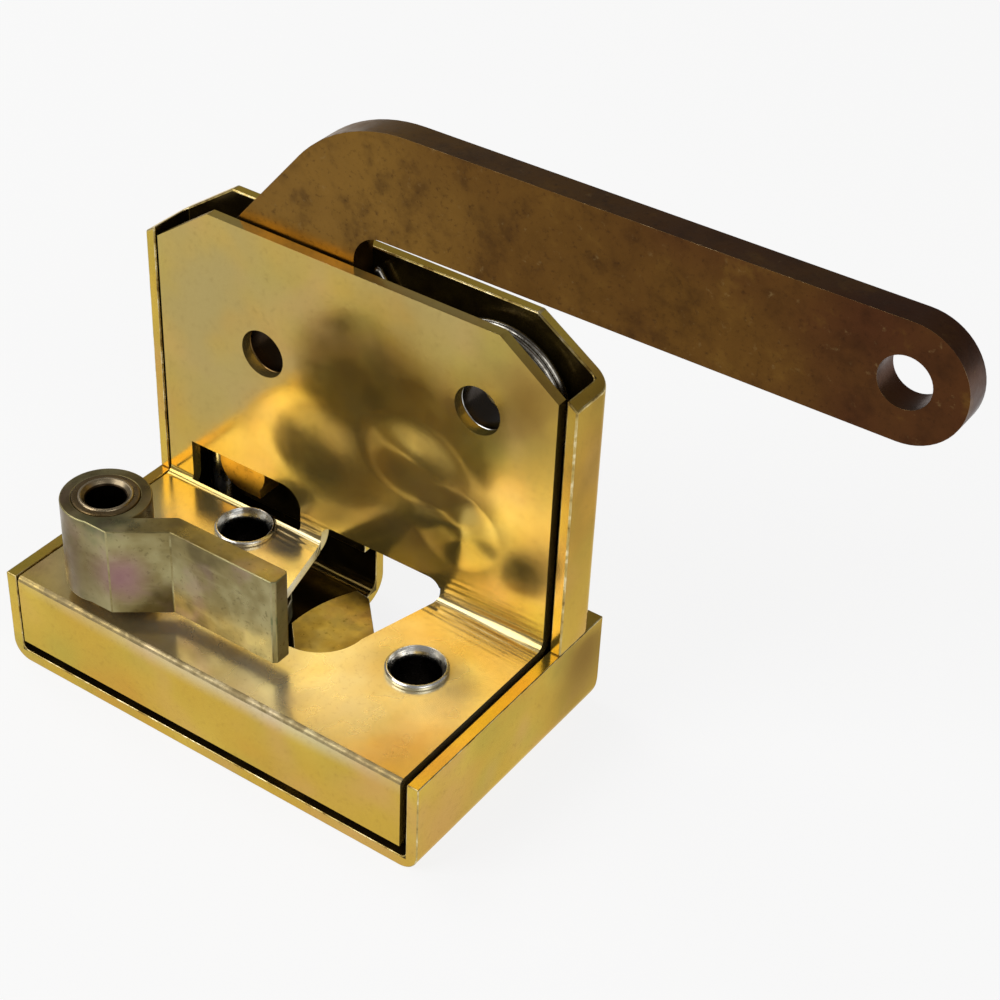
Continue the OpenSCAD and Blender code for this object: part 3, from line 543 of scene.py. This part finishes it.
def wire(path, radius, up, sides=16):
    """Round wire: a circle square to the path at each point, c + r (cos(k) a + sin(k) b), with a = t x up
    and b = a x t, and at each end the circle shrinks over half a ball."""
    path = np.asarray(path, float)
    t = np.gradient(path, axis=0)
    t /= np.linalg.norm(t, axis=1)[:, None]
    rings = 6
    turn = np.linspace(0, np.pi / 2, rings)
    head = path[0] - radius * np.sin(turn[::-1])[:, None] * t[0]
    tail = path[-1] + radius * np.sin(turn)[:, None] * t[-1]
    centre = np.concatenate([head, path[1:-1], tail])
    size = radius * np.concatenate([np.cos(turn[::-1]), np.ones(len(path) - 2), np.cos(turn)])
    t = np.concatenate([np.repeat(t[:1], rings, 0), t[1:-1], np.repeat(t[-1:], rings, 0)])
    a = np.cross(t, np.asarray(up, float))
    a /= np.linalg.norm(a, axis=1)[:, None]
    b = np.cross(a, t)
    k = np.linspace(0, 2 * np.pi, sides, endpoint=False)[None, :, None]
    points = centre[:, None] + size[:, None, None] * (np.cos(k) * a[:, None] + np.sin(k) * b[:, None])
    return points, grid_faces(len(centre), sides, False, True)


def coil_path(u, v, w, centre, mean, start, turns, rise, leg_in, leg_out):
    """Path of a torsion spring: a leg that comes in along the coil's tangent, the coil
    c + m (cos(a) u + sin(a) v) with an even rise along w, and a leg that leaves along the tangent."""
    a = start + 2 * np.pi * turns * np.linspace(0, 1, int(72 * turns))
    lift = rise * np.linspace(0, 1, len(a))
    coil = centre + mean * (np.cos(a)[:, None] * u + np.sin(a)[:, None] * v) + lift[:, None] * w
    tangent = -np.sin(a)[:, None] * u + np.cos(a)[:, None] * v
    near = coil[0] - np.linspace(leg_in, 0, 8, endpoint=False)[:, None] * tangent[0]
    far = coil[-1] + np.linspace(0, leg_out, 13)[1:, None] * tangent[-1]
    return np.concatenate([near, coil, far])


X, Y, Z = np.eye(3)
spring_wire = spring_steel("spring_wire", 31.0)


def upright_spring(node, centre, mean, wire_r, z0, z1, start, turns, leg_in, leg_out):
    """A coil round an upright bush; its foot stays with the case and its head turns with the plate."""
    foot = np.array([*centre, z0])
    path = coil_path(X, Y, Z, foot, mean, math.radians(start), turns, z1 - z0, leg_in, leg_out)
    points, faces = wire(path, wire_r, Z)
    piece = as_piece(node + "_wire", points, faces, spring_wire, "case", [node])
    piece.parent = None
    del piece["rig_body"]
    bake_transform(piece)
    return piece


# The pawl's coil is slimmer here than its solid and has a shorter leg, because the solid meets the crank's
# arm at the latched limit.
upright_spring("claw_spring", (26.8, -3.75), mean=7.6, wire_r=0.7, z0=3.1, z1=6.9, start=105.0,
               turns=2.42, leg_in=5.5, leg_out=7.2)
upright_spring("pawl_spring", (-18.6, 7.55), mean=6.5, wire_r=0.4, z0=2.95, z1=7.35, start=0.0,
               turns=3.5, leg_in=0.4, leg_out=4.0)

# Latch plate
# One folded sheet of 2 mm steel: a front flange, the base with the funnel mouth, and the upright plate with
# two bolt holes. It is zinc plated and yellow passivated after folding.

WALL_Y = 12.75
BASE_Z = 18.0
under_base = ((-41.0, -23.75, 0.0), (41.0, 30.0, 16.05))
behind_wall = ((-41.0, 14.72, 0.0), (41.0, 30.0, 87.8))
plate_gold = gold_zinc("plate_gold", 7.0, 20.0, 0.7, tones_and_painted_light=(
    ((0.0, WALL_Y, 48.0), (120.0, 6.0, 90.0), GOLD_OLIVE, 0.6),
    ((-30.0, WALL_Y, 60.0), (26.0, 6.0, 50.0), GOLD_OLIVE, 1.0),
    ((18.0, WALL_Y, 78.0), (34.0, 6.0, 18.0), GOLD_OLIVE, 0.9),
    # The two brown patches below are a painted reflection of the paddle and the dark room in the upright
    # plate.
    ((8.0, WALL_Y, 57.0), (20.0, 6.0, 14.0), GOLD_BROWN, 0.6),
    ((35.0, WALL_Y, 63.0), (16.0, 6.0, 20.0), GOLD_BROWN, 0.8),
    # The pale patch over the base's top is a painted sheen: the base is lighter here as light from above
    # falls on it.
    ((6.0, -8.0, BASE_Z), (70.0, 34.0, 5.0), GOLD_PAINTED_SHEEN, 1.0),
# The two boxes below, under the base and behind the upright plate, are painted dark: painted shade.
), shade_boxes=(
    under_base,
    behind_wall,
), strain=(
    ((31.0, 11.0, 19.0), (18.0, 7.0, 7.0), 1.4),
    ((-12.0, 12.0, 19.0), (9.0, 5.0, 5.0), 1.4),
), satin=(
    ((6.0, -8.0, BASE_Z), (60.0, 30.0, 5.0), 0.14),
), dents=(
    ((-6.0, WALL_Y, 38.0), (16.0, 6.0, 11.0), -0.8),
    ((13.0, WALL_Y, 44.0), (12.0, 6.0, 9.0), -1.2),
    ((22.0, WALL_Y, 34.0), (9.0, 6.0, 8.0), 1.0),
), rubs=(
    ((-41.0, -25.9, 17.2), (41.0, -24.9, 18.2)),
))
dressed("latch_plate", "latch_plate_folded", plate_gold, edge_gold, 0.3, 3)

# Rear channel
# A folded sheet of 2 mm steel behind the upright plate, with two side walls that close the space the lever
# works in. It has the same yellow plating, and its inside is painted dark as painted shade.

# The channel's inside box is painted dark: painted shade in the space behind the upright plate.
channel_gold = gold_zinc("channel_gold", 15.0, 22.0, 0.4, tones_and_painted_light=(
    ((43.4, 17.0, 62.0), (8.0, 20.0, 50.0), GOLD_BROWN, 0.75),
), shade_boxes=(((-40.7, 10.0, 0.0), (41.5, 20.85, 200.0)),))
dressed("rear_channel", "rear_channel_folded", channel_gold, edge_gold, 0.3, 3)

# Wall bushes and the handle spring
# Two spacers keep the upright walls apart, each on a bolt. The left one is bronze and carries the lever;
# the right one is steel and carries the spring whose long leg lifts the lever.


def bronze(name, axis, centre, seed, tone=(0.36, 0.22, 0.08), bore=0.0):
    """Turned bronze, which is as the turned steel but browner and duller."""
    return bright_steel(name, axis, centre, seed, tone, (0.22, 0.40), bore)


def wall_bush(node, material):
    """A ring between the two walls, with its mouths eased."""
    low, high = (np.array(k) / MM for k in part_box(node))
    centre = ((low[0] + high[0]) / 2, 0.0, (low[2] + high[2]) / 2)
    r = (high[0] - low[0]) / 2
    bore, ease, a, b = 4.35, 0.35, low[1], high[1]
    corners = [(bore + ease, a), (r - ease, a), (r, a + ease), (r, b - ease), (r - ease, b),
               (bore + ease, b), (bore, b - ease), (bore, a + ease)]
    points, faces = turned(rounded(corners, 0.12), centre, "y")
    finish = material(node + "_metal", "y", centre, r, bore=bore)
    return as_piece(node + "_turned", points, faces, finish, "case", [node])


wall_bush("handle_bush", bronze)
wall_bush("spacer_bush", bright_steel)

coil_c = np.array([25.3, 0.0, 58.9])
heel_end = np.array([0.85, 0.0, 71.6])
coil_r = 12.3
coil_y = (15.95, 19.55)
handle_turns = 2.75
handle_wire_r = 0.8
handle_leg = 7.0
to_heel = heel_end - coil_c
leave = math.atan2(to_heel[2], to_heel[0]) + math.acos(coil_r / np.linalg.norm(to_heel))
leg_out = math.sqrt(to_heel @ to_heel - coil_r ** 2)
wind_from = math.pi / 2 - leave - 2 * math.pi * handle_turns
handle_path = coil_path(Z, X, Y, coil_c + coil_y[0] * Y, coil_r, wind_from, handle_turns,
                        coil_y[1] - coil_y[0], handle_leg, leg_out)
spring_points, spring_faces = wire(handle_path, handle_wire_r, Y)
handle_spring = as_piece("handle_spring_wire", spring_points, spring_faces, spring_wire, "case",
                         ["handle_spring"])
handle_spring.parent = None
del handle_spring["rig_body"]
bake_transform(handle_spring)

# Handle lever
# A 5 mm flat steel blank with an eye at the end, a heel round its pivot and a tail down to the base.
# Its plating is a dark bronze-brown, olive near the heel and redder towards the eye, with rubbed edges that
# carry a painted highlight too and a painted gold reflection on the tail.

BROWN_OLIVE = (0.21, 0.108, 0.020)
BROWN_MID = (0.130, 0.060, 0.012)
BROWN_RED = (0.074, 0.026, 0.010)
BROWN_DARK = (0.034, 0.014, 0.006)


def brown_zinc(name, seed):
    """Bronze-brown plating: a painted gold reflection on the tail, then olive to red along the bar, cloudy,
    with dark mottling and rubbed flecks."""
    f = Finish(name)
    way = f.maths("ADD", f.axis("X"), f.span(f.cloud(30.0, 2.0, 0.5, seed), 0.25, 0.75, -28.0, 28.0))
    colour = f.mix(f.span(way, -20.0, 34.0), BROWN_OLIVE, BROWN_MID)
    colour = f.mix(f.span(way, 34.0, 95.0), colour, BROWN_RED)
    blotch = f.cloud(6.0, 4.0, 0.6, seed + 1)
    colour = f.mix(f.span(blotch, 0.48, 0.72, 0.0, 0.55), colour, BROWN_DARK)
    colour = f.mix(f.span(blotch, 0.46, 0.28, 0.0, 0.35), colour, BROWN_OLIVE)
    # The tail below the plate's top is turned gold: a painted reflection of the lit gold base, on a tail
    # that lies in shade.
    colour = f.mix(f.span(f.axis("Z"), 36.0, 28.0), colour, GOLD_ORANGE)
    speck = f.cloud(0.9, 4.0, 0.7, seed + 2)
    colour = f.mix(f.span(speck, 0.52, 0.75, 0.0, 0.55), colour, BROWN_DARK)
    fleck = f.cloud(1.5, 4.0, 0.7, seed + 5)
    colour = f.mix(f.span(fleck, 0.60, 0.78, 0.0, 0.4), colour, (0.30, 0.20, 0.08))
    f.bump(f.cloud(9.0, 3.0, 0.5, seed + 3), 0.3, 0.4)
    f.bump(speck, 0.3, 0.08)
    return f.close(colour, f.span(f.cloud(4.0, 4.0, 0.6, seed + 4), 0.3, 0.7, 0.28, 0.46))


def wear_and_highlight_brown(name, seed):
    """The rubbed edge of the brown bar: a broken thin line of tan on the dark plating, rubbed wear that is
    also a painted highlight.
    """
    f = Finish(name)
    rub = f.cloud(2.4, 5.0, 0.65, seed)
    colour = f.ramp(rub, (0.36, BROWN_RED), (0.52, (0.22, 0.13, 0.05)), (0.68, (0.46, 0.34, 0.18)))
    f.bump(rub, 0.2, 0.06)
    return f.close(colour, f.span(rub, 0.3, 0.7, 0.42, 0.26))


lever_brown = brown_zinc("lever_brown", 41.0)
edge_brown = wear_and_highlight_brown("edge_brown", 44.0)
dressed("handle_lever", "handle_lever_bar", lever_brown, edge_brown, 0.4, 3)

# Release paddle with its bush and tube
# A thick folded strip whose eye is pressed on a bronze bush and a hollow shaft. The outside button of the
# door pushes the strip's end. Dull olive plating with a violet blush and rubbed edges that carry a painted
# highlight too; its eye and its end carry painted shade and a painted reflection.

paddle_olive = olive_zinc("paddle_olive", 53.0, 0.35, 0.35, tones_and_painted_shade=(
    # Painted reflection: the top of the eye darkened as the dark room above is mirrored in it.
    ((-25.8, -17.75, 38.6), (16.0, 16.0, 5.5), (0.050, 0.034, 0.016), 1.0),
    # Painted shade: the front of the eye darkened where its curve turns away from the light.
    ((-27.0, -25.0, 27.0), (10.0, 8.0, 16.0), (0.130, 0.085, 0.035), 0.8),
    ((-17.0, -24.0, 28.0), (8.0, 5.0, 7.0), (0.300, 0.150, 0.170), 0.8),
    # Painted shade: the strip's right end face darkened, as it faces away from the light.
    ((12.0, -16.8, 28.0), (2.4, 6.0, 30.0), (0.080, 0.050, 0.020), 0.9),
))
# The paddle's rounded edges get more pale streaks: rubbed wear, and a painted highlight along the edge.
edge_paddle = olive_zinc("edge_paddle", 57.0, 0.2, 0.9)
dressed("release_paddle", "release_paddle_strip", paddle_olive, edge_paddle, 0.45, 3)

shaft_c = (-25.8, -17.75, 0.0)
bush_low, bush_high = (np.array(k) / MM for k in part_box("eye_bush"))
tube_low, tube_high = (np.array(k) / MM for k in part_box("pivot_tube"))
tube_r = 4.6
tube_bore = 3.25
eye_r = 5.6
eye_corners = [(tube_r, bush_low[2]), (eye_r, bush_low[2]), (eye_r, bush_high[2] - 0.12),
               (eye_r - 0.15, bush_high[2]), (tube_r, bush_high[2])]
eye_points, eye_faces = turned(rounded(eye_corners, 0.08), shaft_c, "z")
eye_metal = bronze("eye_bronze", "z", shaft_c, 61.0, (0.16, 0.11, 0.05))
as_piece("eye_bush_turned", eye_points, eye_faces, eye_metal, "release_shaft", ["eye_bush"])
tube_corners = [(tube_bore, tube_low[2]), (tube_r, tube_low[2]), (tube_r, tube_high[2] - 0.2),
                (tube_r - 0.2, tube_high[2]), (tube_bore + 0.8, tube_high[2]),
                (tube_bore, tube_high[2] - 0.8)]
tube_points, tube_faces = turned(rounded(tube_corners, 0.12), shaft_c, "z")
tube_metal = bronze("tube_bronze", "z", shaft_c, 63.0, (0.34, 0.27, 0.17), bore=3.4)
as_piece("pivot_tube_turned", tube_points, tube_faces, tube_metal, "release_shaft",
         ["pivot_tube"])

# Studio
# A white floor, a dim room, and three large soft lamps. The camera stands a third of a metre away, in front
# of the flange and above it to the right.

floor_mesh = bpy.data.meshes.new("floor")
floor_mesh.from_pydata([(-6, -6, 0), (6, -6, 0), (6, 6, 0), (-6, 6, 0)], [], [(0, 1, 2, 3)])
floor = bpy.data.objects.new("floor", floor_mesh)
bpy.context.scene.collection.objects.link(floor)
floor.location.z = -0.0002
paper = bpy.data.materials.new("pale_floor")
paper.use_nodes = True
paper_tree = paper.node_tree
paper_shader = paper_tree.nodes["Principled BSDF"]
paper_shader.inputs["Base Color"].default_value = (0.90, 0.90, 0.90, 1)
paper_shader.inputs["Roughness"].default_value = 0.9
paper_shader.inputs["Specular IOR Level"].default_value = 0.1
glow = paper_tree.nodes.new("ShaderNodeEmission")
glow.inputs["Color"].default_value = (1, 1, 1, 1)
glow.inputs["Strength"].default_value = 1.0
ray = paper_tree.nodes.new("ShaderNodeLightPath")
shown = paper_tree.nodes.new("ShaderNodeMath")
shown.operation = "MAXIMUM"
paper_tree.links.new(ray.outputs["Is Glossy Ray"], shown.inputs[0])
paper_tree.links.new(ray.outputs["Is Transmission Ray"], shown.inputs[1])
seen = paper_tree.nodes.new("ShaderNodeMath")
seen.operation = "MAXIMUM"
paper_tree.links.new(ray.outputs["Is Camera Ray"], seen.inputs[0])
paper_tree.links.new(shown.outputs["Value"], seen.inputs[1])
share = paper_tree.nodes.new("ShaderNodeMath")
share.operation = "MULTIPLY"
share.inputs[1].default_value = 0.85
paper_tree.links.new(seen.outputs["Value"], share.inputs[0])
both = paper_tree.nodes.new("ShaderNodeMixShader")
paper_tree.links.new(share.outputs["Value"], both.inputs[0])
paper_tree.links.new(paper_shader.outputs["BSDF"], both.inputs[1])
paper_tree.links.new(glow.outputs["Emission"], both.inputs[2])
paper_tree.links.new(both.outputs["Shader"], paper_tree.nodes["Material Output"].inputs["Surface"])
floor_mesh.materials.append(paper)

world = bpy.data.worlds.new("soft_room")
world.use_nodes = True
sky = world.node_tree.nodes["Background"]
sky.inputs["Color"].default_value = (1.0, 0.99, 0.97, 1)
sky.inputs["Strength"].default_value = 0.25
bpy.context.scene.world = world


def lamp(name, place, aim, size, watts):
    """A square soft lamp at a place in metres, facing a point."""
    light = bpy.data.lights.new(name, "AREA")
    light.shape = "SQUARE"
    light.size = size
    light.energy = watts
    thing = bpy.data.objects.new(name, light)
    bpy.context.scene.collection.objects.link(thing)
    back = np.array(place, float) - np.array(aim, float)
    back /= np.linalg.norm(back)
    right = np.cross([0, 0, 1], back)
    right /= np.linalg.norm(right)
    rows = np.column_stack([right, np.cross(back, right), back])
    thing.matrix_world = Matrix.Translation(place) @ Matrix(rows.tolist()).to_4x4()
    return thing


middle = (0.02, 0.0, 0.05)
lamp("key_rear_left", (-0.9, 0.15, 1.2), middle, 0.7, 4.0)
lamp("soft_front_left", (-0.62, -0.95, 0.95), middle, 0.9, 9.0)
lamp("fill_right", (1.1, -0.5, 0.8), middle, 0.8, 3.5)

turn, rise, lean = (math.radians(k) for k in (33.214, 37.072, 2.803))
target = np.array([35.894, 4.25, 51.612]) * MM
distance = 335.493 * MM
back = np.array([math.sin(turn) * math.cos(rise), -math.cos(turn) * math.cos(rise), math.sin(rise)])
right = np.array([math.cos(turn), math.sin(turn), 0.0])
above = np.cross(back, right)
right, above = (right * math.cos(lean) + above * math.sin(lean),
                above * math.cos(lean) - right * math.sin(lean))
lens = bpy.data.cameras.new("camera")
lens.sensor_width = 36.0
lens.lens = 79.46
lens.clip_start = 0.01
lens.clip_end = 20.0
camera = bpy.data.objects.new("camera", lens)
bpy.context.scene.collection.objects.link(camera)
axes = Matrix(np.column_stack([right, above, back]).tolist()).to_4x4()
camera.matrix_world = Matrix.Translation(target + distance * back) @ axes
bpy.context.scene.camera = camera
bpy.context.scene.view_settings.view_transform = "Standard"
